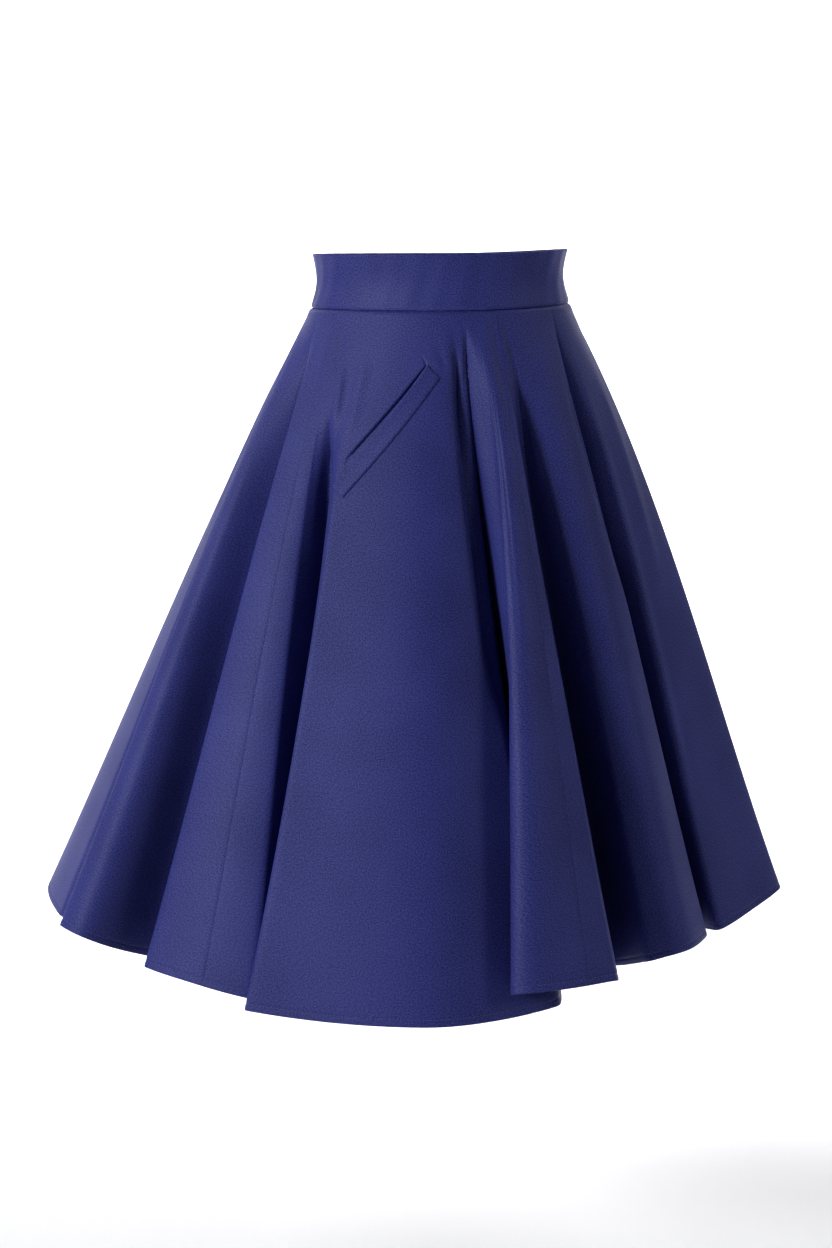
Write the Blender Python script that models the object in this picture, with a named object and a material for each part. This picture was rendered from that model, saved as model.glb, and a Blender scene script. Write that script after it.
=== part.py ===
"""A worn swing skirt in five gores, with a contour waistband, one welt pocket and a centre back zip.

Metres, +Z up. The origin is the middle of the waist, at the band's narrowest level. The front faces
-Y and the wearer's left is +X. Bearings are in degrees from the front, growing towards +X.
"""

import math

import bmesh
import bpy
import numpy as np
from mathutils import Matrix, Vector

# Cloth
WALL = 0.0015
BAND_WALL = 0.0022
SEAM_GAP = 0.0003

# Waist seam, where the gores hang from the band
WAIST_HALF_WIDTH = 0.1296
WAIST_HALF_DEPTH = 0.1030
WAIST_SEAM_Z = -0.0238
BAND_HEIGHT = 0.0530
SIDE_LIFT = 0.0050

# Waistband profile: how far down the band, and its half width there as a share of the waist seam's
BAND_ROWS = (
    # down, share
    (0.00, 0.983),
    (0.18, 0.967),
    (0.36, 0.955),
    (0.54, 0.953),
    (0.70, 0.964),
    (0.86, 0.984),
    (1.00, 1.000),
)

# Seams: the bearing at the waist, and where the seam meets the hem, counted in folds: 1.8 is just past
# the crown that follows the second fold of the table below
SEAM_ROWS = (
    # name, bearing, place
    ("right front", -51.0, 1.80),
    ("left front", 24.6, 3.92),
    ("left side", 98.0, 6.73),
    ("centre back", 168.5, 9.62),
    ("right side", 238.5, 11.90),
)
GORES = ("gore_front", "gore_side_left", "gore_back_left", "gore_back_right", "gore_side_right")

# Folds round the hem, from the wearer's right front towards the left. Each row is one fold: the lip
# where the cloth turns in, the bottom, the lip where it comes out, and the crown before the next fold,
# as x and y in millimetres. Then the bearing of its bottom at the waist, the cloth's length from waist
# seam to hem, how far down the fold starts, how late its lips close over it, and how much longer than
# the folds beside it the cloth hangs in the groove, in millimetres. An x or y is the point before the
# lips are rounded.
FOLD_ROWS = (
    # name, turn in, bottom, come out, crown, bearing, length, start, closing, sag
    ("side 1", (-377, -158), (-320, -158), (-371, -206), (-343, -229), -85.0, 659, 0.03, 1.1, 0),
    ("side 2", (-290, -190), (-232, -170), (-286, -238), (-236, -271), -66.0, 664, 0.05, 1.2, 0),
    ("right front", (-174, -290), (-142, -195), (-184, -306), (0, -336), -45.0, 677, 0.15, 1.5, 0),
    ("middle front", (110, -280), (124, -189), (62, -322), (78, -330), 10.0, 648, 0.03, 1.9, 0),
    ("left front", (166, -292), (172, -130), (202, -208), (238, -201), 27.0, 645, 0.10, 1.2, 24),
    ("side 3", (268, -147), (243, -70), (280, -138), (322, -92), 55.0, 646, 0.02, 1.5, 0),
    ("side 4", (360, -46), (305, 20), (366, 74), (352, 135), 90.0, 650, 0.05, 1.1, 0),
    ("back 1", (318, 185), (245, 155), (285, 222), (240, 262), 112.0, 655, 0.08, 1.2, 0),
    ("back 2", (185, 285), (130, 215), (140, 292), (85, 318), 139.0, 655, 0.04, 1.1, 0),
    ("back 3", (30, 322), (-20, 240), (-30, 318), (-80, 328), 160.0, 655, 0.10, 1.2, 0),
    ("back 4", (-135, 312), (-145, 225), (-190, 292), (-235, 275), 192.0, 655, 0.05, 1.1, 0),
    ("back 5", (-282, 232), (-250, 150), (-322, 190), (-352, 150), 219.0, 655, 0.06, 1.2, 0),
    ("side 5", (-378, 100), (-318, 40), (-394, 30), (-407, -60), 245.0, 660, 0.05, 1.1, 0),
)
LIP_ROLL = 0.005
LIP_BEND = 0.8
GROOVE_ROUND = 0.03
DEPTH_GROWTH = 0.8

# What the folds grow from: the hem smoothed over this width and widened, and the waist, where a fold is
# squeezed to a share of its width. The hips push the sides out a little, the right side and the left.
ENVELOPE_WIDTH = 0.16
ENVELOPE_OUT = 1.06
WAIST_PINCH = 0.25
WAIST_BLEND = 0.012
FRONT_SHARE = 0.2
SIDE_BULGE = (0.006, 0.012)

# Pocket on the front gore: corners as shares round the hem and down the cloth
WELT_CORNERS = (
    # place, share, down
    ("upper end, slit side", 0.2320, 0.0800),
    ("upper end, sewn side", 0.2393, 0.1000),
    ("lower end, sewn side", 0.1835, 0.2783),
    ("lower end, slit side", 0.1750, 0.2650),
)
BAG_CORNERS = (
    # place, share, down
    ("upper end, slit side", 0.2310, 0.0965),
    ("bottom, centre side", 0.2375, 0.360),
    ("bottom, outer side", 0.1855, 0.420),
    ("lower end, slit side", 0.1818, 0.262),
)
WELT_WALL = 0.0015
WELT_GAP = 0.0005
BAG_WALL = 0.0012
BAG_GAP = 0.0008
PATCH_STEPS = 18

# Centre back zip: its tape lies inside the seam, and its slider stands at the top of the band
TAPE_WIDTH = 0.022
TAPE_WALL = 0.0010
TAPE_GAP = 0.0009
TAPE_BAND_ROWS = (0.03, 0.20, 0.38, 0.56, 0.74, 0.90)
TAPE_GORE_ROWS = (0.012, 0.06, 0.11, 0.16, 0.21)
TAPE_STEPS = 6
SLIDER_DOWN = 0.0070
SLIDER_SIZE = (0.0065, 0.0016, 0.0090)
SLIDER_GAP = 0.0005
EAR_SIZE = (0.0010, 0.0040, 0.0034)
EAR_APART = 0.0040
PIN_RADIUS = 0.0006
PIN_OUT = 0.0026
EYE_RADIUS = 0.0016
EYE_BORE = 0.0009
EYE_WIDTH = 0.0024
TAB_SIZE = (0.0050, 0.0010, 0.0180)
NECK_LENGTH = 0.0050
JOIN_DEPTH = 0.0005
ROUND_STEPS = 16

# How finely the walls are divided. The small step is the share over which slopes are measured.
LONGEST_STEP = 0.050
SHARPEST_TURN = 24.0
SMALL_STEP = 0.0004
FOLD_STEPS = 24
ROWS_DOWN = (0.0, 0.05, 0.12, 0.21, 0.32, 0.44, 0.57, 0.71, 0.85, 1.0)
BAND_STEPS = 56
FINE = 2048

CLOTH_COLOUR = (0.036, 0.042, 0.185)
LINING_COLOUR = (0.025, 0.028, 0.10)
METAL_COLOUR = (0.10, 0.11, 0.20)


def smooth_round(values, width):
    """Values round the closed hem with waves shorter than about the width, a share of it, taken out."""
    waves = np.fft.rfftfreq(len(values), 1.0 / len(values))
    kept = np.exp(-2.0 * (math.pi * waves * width) ** 2)
    return np.fft.irfft((np.fft.rfft(values, axis=0).T * kept).T, len(values), axis=0)


def even_spacing(points, count):
    """Points at even spacing along a closed outline, its length, and the old place of each new point."""
    closed = np.vstack([points, points[:1]])
    along = np.concatenate([[0.0], np.cumsum(np.linalg.norm(np.diff(closed, axis=0), axis=1))])
    wanted = np.linspace(0.0, along[-1], count, endpoint=False)
    even = np.stack([np.interp(wanted, along, column) for column in closed.T], axis=1)
    return even, along[-1], np.interp(wanted, along, np.arange(len(closed)))


def across_groove(points, i):
    """The direction from the first wall of a groove to its second one, at its bottom."""
    first = points[i - 1] - points[i]
    second = points[(i + 1) % len(points)] - points[i]
    out = first / np.linalg.norm(first) + second / np.linalg.norm(second)
    return np.array([-out[1], out[0]]) / np.linalg.norm(out)


def curve_through(points, steps):
    """A closed curve through the folds' points, smooth but for a bend at each lip."""
    def mix(first, second, a, b, t):
        return ((b - t) * first + (t - a) * second) / (b - a)

    curve = []
    for i in range(len(points)):
        p = [points[(i + k) % len(points)] for k in (-1, 0, 1, 2)]
        if i % 2 == 0:
            p[0] = p[1] + (p[1] - p[2]) * LIP_BEND + (p[0] - p[1]) * (1.0 - LIP_BEND)
        else:
            p[3] = p[2] + (p[2] - p[1]) * LIP_BEND + (p[3] - p[2]) * (1.0 - LIP_BEND)
        if i % 4 == 0:
            p[3] = p[2] + across_groove(points, i + 1) * GROOVE_ROUND
        if i % 4 == 1:
            p[0] = p[1] - across_groove(points, i) * GROOVE_ROUND
        t = np.concatenate([[0.0], np.cumsum([math.dist(p[k], p[k + 1]) ** 0.5 for k in range(3)])])
        for now in np.linspace(t[1], t[2], steps, endpoint=False):
            legs = [mix(p[k], p[k + 1], t[k], t[k + 1], now) for k in range(3)]
            arcs = [mix(legs[k], legs[k + 1], t[k], t[k + 2], now) for k in range(2)]
            curve.append(mix(arcs[0], arcs[1], t[1], t[2], now))
    return np.array(curve)


def on_waist(bearing):
    """The point of the waist seam's oval at each bearing."""
    angle = np.radians(bearing)
    return np.stack([WAIST_HALF_WIDTH * np.sin(angle), -WAIST_HALF_DEPTH * np.cos(angle)], axis=-1)


def lift(bearing):
    """How much higher the waistband sits on the wearer's left side."""
    return SIDE_LIFT * np.maximum(0.0, np.sin(np.radians(bearing))) ** 2


def held_over(row_of, column, first, span):
    """A column of the fold table, held over a span of each fold from the first place, blended between."""
    values = [row[column] for row in FOLD_ROWS]
    places = [i + first + k for i in range(len(values)) for k in (0.0, span)]
    doubled = [value for value in values for _ in range(2)]
    held = np.interp(row_of, places, doubled, period=len(values))
    return smooth_round(held, 0.004)


def sag(row_of):
    """How much longer the cloth hangs in each groove than on the folds beside it, in mm."""
    heights = [height for row in FOLD_ROWS for height in (0.0, row[9], 0.0)]
    places = [i + k for i in range(len(FOLD_ROWS)) for k in (0.0, 0.25, 0.5)]
    return smooth_round(np.interp(row_of, places, heights, period=len(FOLD_ROWS)), 0.004)


class Skirt:
    """The middle of the gores' cloth, as a function of the share round the hem and the share down."""

    def __init__(self):
        corners = np.array([point for row in FOLD_ROWS for point in row[1:5]]) / 1000.0
        raw = curve_through(corners, FOLD_STEPS)
        outline, around, first_place = even_spacing(raw, FINE)
        self.hem, around, place = even_spacing(smooth_round(outline, LIP_ROLL / around), FINE)
        row_of = np.interp(place, np.arange(FINE + 1), np.append(first_place, len(raw))) / (4 * FOLD_STEPS)
        self.envelope = smooth_round(self.hem, ENVELOPE_WIDTH / around) * ENVELOPE_OUT
        self.start = held_over(row_of, 7, 0.0, 0.5)
        self.closing = held_over(row_of, 8, 0.0, 0.5)
        self.seams = [self.share_at(row_of, row[2]) for row in SEAM_ROWS]
        self.knots = self.waist_knots(row_of)
        waist = on_waist(self.waist_bearings(np.arange(FINE) / FINE))
        reach = np.linalg.norm(self.hem - waist, axis=1)
        length = (held_over(row_of, 6, 0.5, 0.25) + sag(row_of)) / 1000.0
        self.drop = np.sqrt(length ** 2 - reach ** 2)

    def share_at(self, row_of, place):
        """The share of the hem's length at a place counted in folds."""
        return np.interp(place, row_of[1:], np.arange(1, FINE) / FINE)

    def waist_knots(self, row_of):
        """Where the seams and the folds lie, as shares of the hem and bearings at the waist."""
        knots = [(share, row[1]) for share, row in zip(self.seams, SEAM_ROWS)]
        for i, row in enumerate(FOLD_ROWS):
            turn_in, bottom, come_out = [self.share_at(row_of, i + k) for k in (0.0, 0.25, 0.5)]
            turns = round(bottom - FRONT_SHARE - row[5] / 360.0)
            middle = row[5] + 360.0 * turns
            for share in (turn_in, bottom, come_out):
                away = (share - bottom + 0.5) % 1.0 - 0.5
                knots.append((bottom + away, middle + away * 360.0 * WAIST_PINCH))
        knots.sort()
        before = [(share - 1.0, bearing - 360.0) for share, bearing in knots]
        after = [(share + 1.0, bearing + 360.0) for share, bearing in knots]
        return np.array(before + knots + after).T

    def waist_bearings(self, share):
        """The waist bearing above each share of the hem."""
        spread = np.linspace(-WAIST_BLEND, WAIST_BLEND, 9)
        return np.mean([np.interp(share + shift, *self.knots) for shift in spread], axis=0)

    def look_up(self, table, share):
        """A table kept round the hem, read at any share."""
        closed = np.concatenate([table, table[:1]])
        place = (share % 1.0) * FINE
        if table.ndim == 1:
            return np.interp(place, np.arange(FINE + 1), closed)
        return np.stack([np.interp(place, np.arange(FINE + 1), c) for c in closed.T], axis=-1)

    def middle(self, share, down):
        """Points of the cloth's middle. Both arguments are arrays of one shape."""
        bearing = self.waist_bearings(share)
        waist = on_waist(bearing)
        envelope = self.look_up(self.envelope, share)
        fold = self.look_up(self.hem, share) - envelope
        start = self.look_up(self.start, share)
        along = np.clip((down - start) / (1.0 - start), 0.0, None)[..., None]
        closing = self.look_up(self.closing, share)[..., None]
        outward = unit(envelope)
        depth = outward * np.sum(fold * outward, axis=-1, keepdims=True)
        grown = depth * along ** DEPTH_GROWTH + (fold - depth) * along ** closing
        flat = waist + (envelope - waist) * down[..., None] + grown
        out = unit(waist)
        right, left = SIDE_BULGE
        # The last factor is 1 a third of the way down, and nothing at the waist and the hem
        at_hips = (6.75 * down * (1.0 - down) ** 2)[..., None]
        flat = flat + out * np.where(out[..., :1] > 0.0, left, right) * out[..., :1] ** 2 * at_hips
        height = WAIST_SEAM_Z + lift(bearing) - self.look_up(self.drop, share) * down
        return np.concatenate([flat, height[..., None]], axis=-1)

    def sheet(self, share, down):
        """The cloth's middle over a grid, its outward normals and its direction across."""
        share, down = np.meshgrid(share, down)
        return self.with_normals(share, down)

    def with_normals(self, share, down):
        """The cloth's middle, its outward normals and its direction across, at given places."""
        across = self.middle(share + SMALL_STEP, down) - self.middle(share - SMALL_STEP, down)
        upper = self.middle(share, np.maximum(down - SMALL_STEP, 0.0))
        lower = self.middle(share, np.minimum(down + SMALL_STEP, 1.0))
        return self.middle(share, down), unit(np.cross(lower - upper, across)), unit(across)


def unit(vectors):
    """Vectors at length 1."""
    return vectors / np.linalg.norm(vectors, axis=-1, keepdims=True)


def level(normals):
    """The normals turned level, for an edge that meets another piece on a level seam."""
    return unit(normals * (1.0, 1.0, 0.0))


def shares_between(skirt, first, last):
    """Shares along the hem, closer together where the folds turn sharply."""
    fine = np.linspace(first, last, FINE)
    points = skirt.look_up(skirt.hem, fine)
    run = np.diff(points, axis=0)
    heading = np.unwrap(np.arctan2(run[:, 1], run[:, 0]))
    turn = np.abs(np.diff(heading, append=heading[-1]))
    cost = np.linalg.norm(run, axis=1) / LONGEST_STEP + np.degrees(turn) / SHARPEST_TURN
    total = np.concatenate([[0.0], np.cumsum(cost)])
    count = max(4, math.ceil(total[-1]))
    return np.interp(np.linspace(0.0, total[-1], count + 1), total, fine)


def walled(name, outer, inner, material, collection):
    """A closed wall between two grids of points, joined round their four edges."""
    rows, columns = outer.shape[:2]
    mesh = bmesh.new()
    sides = []
    for grid in (outer, inner):
        sides.append([[mesh.verts.new(point) for point in row] for row in grid])
    front, back = sides
    for r in range(rows - 1):
        for c in range(columns - 1):
            mesh.faces.new((front[r][c], front[r + 1][c], front[r + 1][c + 1], front[r][c + 1]))
            mesh.faces.new((back[r][c], back[r][c + 1], back[r + 1][c + 1], back[r + 1][c]))
    rim = [(r, 0) for r in range(rows)] + [(rows - 1, c) for c in range(1, columns)]
    rim += [(r, columns - 1) for r in range(rows - 2, -1, -1)] + [(0, c) for c in range(columns - 2, 0, -1)]
    for (r, c), (s, d) in zip(rim, rim[1:] + rim[:1]):
        mesh.faces.new((front[r][c], back[r][c], back[s][d], front[s][d]))
    bmesh.ops.recalc_face_normals(mesh, faces=mesh.faces)
    data = bpy.data.meshes.new(name)
    mesh.to_mesh(data)
    mesh.free()
    data.shade_smooth()
    data.set_sharp_from_angle(angle=math.radians(50))
    data.materials.append(material)
    made = bpy.data.objects.new(name, data)
    collection.objects.link(made)
    return made


def material_of(name, colour, roughness, metallic):
    """A plain material."""
    made = bpy.data.materials.new(name)
    made.use_nodes = True
    shader = made.node_tree.nodes["Principled BSDF"]
    shader.inputs["Base Color"].default_value = (*colour, 1.0)
    shader.inputs["Roughness"].default_value = roughness
    shader.inputs["Metallic"].default_value = metallic
    return made


def clear_scene():
    """Leaves an empty scene."""
    for item in list(bpy.data.objects):
        bpy.data.objects.remove(item, do_unlink=True)


def build_gores(skirt, cloth, collection):
    """The five gores, each from seam to seam and from the waist seam to the hem."""
    for i, name in enumerate(GORES):
        first = skirt.seams[i]
        last = (skirt.seams + [skirt.seams[0] + 1.0])[i + 1]
        middle, normal, across = skirt.sheet(shares_between(skirt, first, last), np.array(ROWS_DOWN))
        normal[0] = level(normal[0])
        middle[:, 0] += across[:, 0] * SEAM_GAP / 2
        middle[:, -1] -= across[:, -1] * SEAM_GAP / 2
        middle[0, :, 2] -= SEAM_GAP / 2
        walled(name, middle + normal * WALL / 2, middle - normal * WALL / 2, cloth, collection)


def build_band(cloth, collection):
    """The waistband: a front, and two backs that meet at the zip."""
    stations = [SEAM_ROWS[k][1] for k in (2, 3, 4)]
    pieces = (
        ("waistband_front", stations[2] - 360.0, stations[0]),
        ("waistband_back_left", stations[0], stations[1]),
        ("waistband_back_right", stations[1], stations[2]),
    )
    down = np.array([row[0] for row in BAND_ROWS])
    scale = np.array([row[1] for row in BAND_ROWS])
    for name, first, last in pieces:
        count = round(BAND_STEPS * (last - first) / 360.0)
        bearing, depth = np.meshgrid(np.linspace(first, last, count + 1), down)
        flat = on_waist(bearing) * scale[:, None, None]
        top = WAIST_SEAM_Z + BAND_HEIGHT + lift(bearing)
        middle = np.concatenate([flat, (top - depth * BAND_HEIGHT)[..., None]], axis=-1)
        across = unit(np.stack([WAIST_HALF_WIDTH * np.cos(np.radians(bearing)),
                                WAIST_HALF_DEPTH * np.sin(np.radians(bearing)),
                                np.zeros(bearing.shape)], axis=-1))
        below = unit(np.gradient(middle, axis=0))
        normal = unit(np.cross(below, across))
        normal[-1] = level(normal[-1])
        middle[:, 0] += across[:, 0] * SEAM_GAP / 2
        middle[:, -1] -= across[:, -1] * SEAM_GAP / 2
        middle[-1, :, 2] += SEAM_GAP / 2
        walled(name, middle + normal * BAND_WALL / 2, middle - normal * BAND_WALL / 2, cloth, collection)


def patch_on(skirt, corners):
    """A four-cornered grid on the front gore, from its first edge to its last."""
    (a, b, c, d) = [np.array(row[1:]) for row in corners]
    along, across = np.meshgrid(np.linspace(0.0, 1.0, PATCH_STEPS + 1), np.linspace(0.0, 1.0, 4))
    along, across = along[..., None], across[..., None]
    place = (a * (1 - along) + d * along) * (1 - across) + (b * (1 - along) + c * along) * across
    middle, normal, _ = skirt.with_normals(place[..., 0], place[..., 1])
    return middle, normal


def build_pocket(skirt, cloth, lining, collection):
    """The welt, laid on the front gore, and the pocket bag behind it."""
    middle, normal = patch_on(skirt, WELT_CORNERS)
    inner = middle + normal * (WALL / 2 + WELT_GAP)
    walled("pocket_welt", inner + normal * WELT_WALL, inner, cloth, collection)
    middle, normal = patch_on(skirt, BAG_CORNERS)
    outer = middle - normal * (WALL / 2 + BAG_GAP)
    walled("pocket_bag", outer, outer - normal * BAG_WALL, lining, collection)


def band_point(bearing, depth):
    """A point of the band's middle and its outward normal, at a share of the way down the band."""
    down = [row[0] for row in BAND_ROWS]
    scale = [row[1] for row in BAND_ROWS]
    points = []
    for at in (depth - 0.02, depth, depth + 0.02):
        flat = on_waist(bearing) * np.interp(at, down, scale)
        points.append(np.append(flat, WAIST_SEAM_Z + lift(bearing) + BAND_HEIGHT * (1.0 - at)))
    angle = math.radians(bearing)
    across = np.array([WAIST_HALF_WIDTH * math.cos(angle), WAIST_HALF_DEPTH * math.sin(angle), 0.0])
    return points[1], unit(np.cross(points[2] - points[0], across))


def build_tape(skirt, cloth, collection):
    """One strip behind the centre back seam, from the band's top to the end of the opening."""
    bearing = SEAM_ROWS[3][1]
    share = skirt.seams[3]
    offsets = np.linspace(-TAPE_WIDTH / 2, TAPE_WIDTH / 2, TAPE_STEPS + 1)
    outer, inner = [], []
    reach = np.linalg.norm(on_waist(bearing + 0.5) - on_waist(bearing - 0.5))
    for depth in TAPE_BAND_ROWS:
        row = [band_point(bearing + offset / reach, depth) for offset in offsets]
        outer.append([point - normal * (BAND_WALL / 2 + TAPE_GAP) for point, normal in row])
        inner.append([point - normal * (BAND_WALL / 2 + TAPE_GAP + TAPE_WALL) for point, normal in row])
    for down in TAPE_GORE_ROWS:
        near = skirt.middle(np.array([share - SMALL_STEP, share + SMALL_STEP]), np.array([down, down]))
        reach = np.linalg.norm(near[1] - near[0]) / (2 * SMALL_STEP)
        middle, normal, _ = skirt.sheet(share + offsets / reach, np.array([down]))
        outer.append(middle[0] - normal[0] * (WALL / 2 + TAPE_GAP))
        inner.append(middle[0] - normal[0] * (WALL / 2 + TAPE_GAP + TAPE_WALL))
    walled("zip_tape", np.array(outer), np.array(inner), cloth, collection)


def placed(name, mesh, frame, material, collection):
    """An object made of the mesh and stood in a frame."""
    data = bpy.data.meshes.new(name)
    mesh.to_mesh(data)
    mesh.free()
    data.materials.append(material)
    made = bpy.data.objects.new(name, data)
    made.matrix_world = frame
    collection.objects.link(made)
    return made


def block(name, size, at, frame, material, collection):
    """A box of a size, centred on a point of the frame."""
    mesh = bmesh.new()
    bmesh.ops.create_cube(mesh, size=1.0, matrix=Matrix.Translation(at) @ Matrix.Diagonal((*size, 1.0)))
    return placed(name, mesh, frame, material, collection)


def rod(name, radius, length, at, frame, material, collection):
    """A round bar along the frame's X."""
    mesh = bmesh.new()
    turn = Matrix.Translation(at) @ Matrix.Rotation(math.pi / 2, 4, "Y")
    bmesh.ops.create_cone(mesh, cap_ends=True, segments=ROUND_STEPS, radius1=radius, radius2=radius,
                          depth=length, matrix=turn)
    return placed(name, mesh, frame, material, collection)


def combine(target, tool, operation):
    """Joins the tool to the target or cuts it out, and keeps the tool out of the render."""
    tool.hide_render = True
    tool.display_type = "WIRE"
    change = target.modifiers.new(tool.name, "BOOLEAN")
    change.object = tool
    change.operation = operation


def build_slider(metal, collection, cutters):
    """The slider, which stays at the top, and its pull tab, which swings on the slider's pin."""
    bearing = SEAM_ROWS[3][1]
    middle, normal = band_point(bearing, SLIDER_DOWN / BAND_HEIGHT)
    outward = Vector(normal)
    tangent = Vector((outward.y, -outward.x, 0.0)).normalized()
    up = tangent.cross(outward)
    foot = Vector(middle) + outward * (BAND_WALL / 2 + SLIDER_GAP)
    frame = Matrix((tangent, outward, up)).transposed().to_4x4()
    frame.translation = foot
    top = SLIDER_SIZE[1]
    slider = block("zip_slider", SLIDER_SIZE, (0.0, top / 2, 0.0), frame, metal, collection)
    for name, side in (("ear right", -1), ("ear left", 1)):
        ear_at = (side * EAR_APART / 2, top + EAR_SIZE[1] / 2 - JOIN_DEPTH, 0.0)
        combine(slider, block(name, EAR_SIZE, ear_at, frame, metal, cutters), "UNION")
    pin_at = Vector((0.0, top + PIN_OUT, 0.0))
    pin = rod("pin", PIN_RADIUS, EAR_APART, pin_at, frame, metal, cutters)
    combine(slider, pin, "UNION")

    plumb = Vector((0.0, 0.0, 1.0))
    hung = Matrix((tangent, plumb.cross(tangent), plumb)).transposed().to_4x4()
    hung.translation = frame @ pin_at
    tab = rod("zip_pull_tab", EYE_RADIUS, EYE_WIDTH, (0.0, 0.0, 0.0), hung, metal, collection)
    neck_size = (EYE_WIDTH, TAB_SIZE[1], NECK_LENGTH)
    combine(tab, block("neck", neck_size, (0.0, 0.0, -NECK_LENGTH / 2), hung, metal, cutters), "UNION")
    plate_at = (0.0, 0.0, JOIN_DEPTH - NECK_LENGTH - TAB_SIZE[2] / 2)
    combine(tab, block("plate", TAB_SIZE, plate_at, hung, metal, cutters), "UNION")
    bore = rod("eye bore", EYE_BORE, EYE_WIDTH * 2, (0.0, 0.0, 0.0), hung, metal, cutters)
    combine(tab, bore, "DIFFERENCE")


def main():
    """Builds every piece."""
    clear_scene()
    collection = bpy.data.collections.new("Skirt")
    cutters = bpy.data.collections.new("Cutters")
    cutters.hide_render = True
    for made in (collection, cutters):
        bpy.context.scene.collection.children.link(made)
    cloth = material_of("Navy cotton sateen", CLOTH_COLOUR, 0.62, 0.0)
    lining = material_of("Navy pocketing", LINING_COLOUR, 0.8, 0.0)
    metal = material_of("Enamelled metal", METAL_COLOUR, 0.4, 0.6)
    skirt = Skirt()
    build_gores(skirt, cloth, collection)
    build_band(cloth, collection)
    build_pocket(skirt, cloth, lining, collection)
    build_tape(skirt, lining, collection)
    build_slider(metal, collection, cutters)


main()
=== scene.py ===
"""Looks of a worn navy swing skirt: five gores, a contour band, one welt pocket and a centre back zip.

Metres, +Z up. The origin is the middle of the waist, the front faces -Y and the wearer's left is +X.
Every cloth piece is a thin shell on the same form as its solid, with its creases laid on one by one.
"""
import math

import bpy
import numpy as np
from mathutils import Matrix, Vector


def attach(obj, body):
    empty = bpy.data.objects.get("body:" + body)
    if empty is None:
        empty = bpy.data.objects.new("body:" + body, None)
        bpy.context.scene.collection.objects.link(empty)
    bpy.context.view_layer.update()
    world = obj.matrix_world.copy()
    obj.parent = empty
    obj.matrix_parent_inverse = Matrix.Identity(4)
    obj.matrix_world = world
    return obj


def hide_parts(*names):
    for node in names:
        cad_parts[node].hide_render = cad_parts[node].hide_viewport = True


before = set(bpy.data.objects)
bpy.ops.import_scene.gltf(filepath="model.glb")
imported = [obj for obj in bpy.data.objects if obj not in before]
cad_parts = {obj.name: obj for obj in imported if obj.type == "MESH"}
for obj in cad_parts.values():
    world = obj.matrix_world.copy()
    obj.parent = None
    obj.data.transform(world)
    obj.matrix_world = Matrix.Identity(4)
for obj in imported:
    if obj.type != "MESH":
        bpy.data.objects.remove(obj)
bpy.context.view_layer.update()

# Cloth: its wall, the doubled band's, and the gap at a seam
WALL = 0.0009
BAND_WALL = 0.0020
SEAM_GAP = 0.00012

# The form, with the same sizes and tables as the solids. The waist seam's oval, the band's height, and how
# much higher the band sits on the wearer's left
WAIST_HALF_WIDTH = 0.1296
WAIST_HALF_DEPTH = 0.1030
WAIST_SEAM_Z = -0.0238
BAND_HEIGHT = 0.0530
SIDE_LIFT = 0.0050
BAND_ROWS = (
    # share down the band, and its size as a share of the waist seam's oval
    (0.00, 0.983), (0.18, 0.967), (0.36, 0.955), (0.54, 0.953), (0.70, 0.964), (0.86, 0.984), (1.00, 1.000),
)
SEAM_ROWS = (
    # name, bearing at the waist, place at the hem counted in folds
    ("right front", -51.0, 1.80),
    ("left front", 24.6, 3.92),
    ("left side", 98.0, 6.73),
    ("centre back", 168.5, 9.62),
    ("right side", 238.5, 11.90),
)
GORES = ("gore_front", "gore_side_left", "gore_back_left", "gore_back_right", "gore_side_right")

# Folds round the hem. Two lips with the bottom of a groove between them, and the crown after it, as places
# in mm. Then the bearing at the waist, the cloth's length in mm, where the fold starts as a share down, how
# late its lips close, and how many mm longer the cloth hangs in the groove
FOLD_ROWS = (
    # name, turn in, bottom, come out, crown, bearing, length, start, closing, sag
    ("side 1", (-377, -158), (-320, -158), (-371, -206), (-343, -229), -85.0, 659, 0.03, 1.1, 0),
    ("side 2", (-290, -190), (-232, -170), (-286, -238), (-236, -271), -66.0, 664, 0.05, 1.2, 0),
    ("right front", (-174, -290), (-142, -195), (-184, -306), (0, -336), -45.0, 677, 0.15, 1.5, 0),
    ("middle front", (110, -280), (124, -189), (62, -322), (78, -330), 10.0, 648, 0.03, 1.9, 0),
    ("left front", (166, -292), (172, -130), (202, -208), (238, -201), 27.0, 645, 0.10, 1.2, 24),
    ("side 3", (268, -147), (243, -70), (280, -138), (322, -92), 55.0, 646, 0.02, 1.5, 0),
    ("side 4", (360, -46), (305, 20), (366, 74), (352, 135), 90.0, 650, 0.05, 1.1, 0),
    ("back 1", (318, 185), (245, 155), (285, 222), (240, 262), 112.0, 655, 0.08, 1.2, 0),
    ("back 2", (185, 285), (130, 215), (140, 292), (85, 318), 139.0, 655, 0.04, 1.1, 0),
    ("back 3", (30, 322), (-20, 240), (-30, 318), (-80, 328), 160.0, 655, 0.10, 1.2, 0),
    ("back 4", (-135, 312), (-145, 225), (-190, 292), (-235, 275), 192.0, 655, 0.05, 1.1, 0),
    ("back 5", (-282, 232), (-250, 150), (-322, 190), (-352, 150), 219.0, 655, 0.06, 1.2, 0),
    ("side 5", (-378, 100), (-318, 40), (-394, 30), (-407, -60), 245.0, 660, 0.05, 1.1, 0),
)

# How wide the cloth rolls at a lip, how sharply it bends there, how round a groove's bottom is, and how a
# fold's depth grows on the way down
LIP_ROLL = 0.005
LIP_BEND = 0.8
GROOVE_ROUND = 0.03
DEPTH_GROWTH = 0.8

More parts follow.
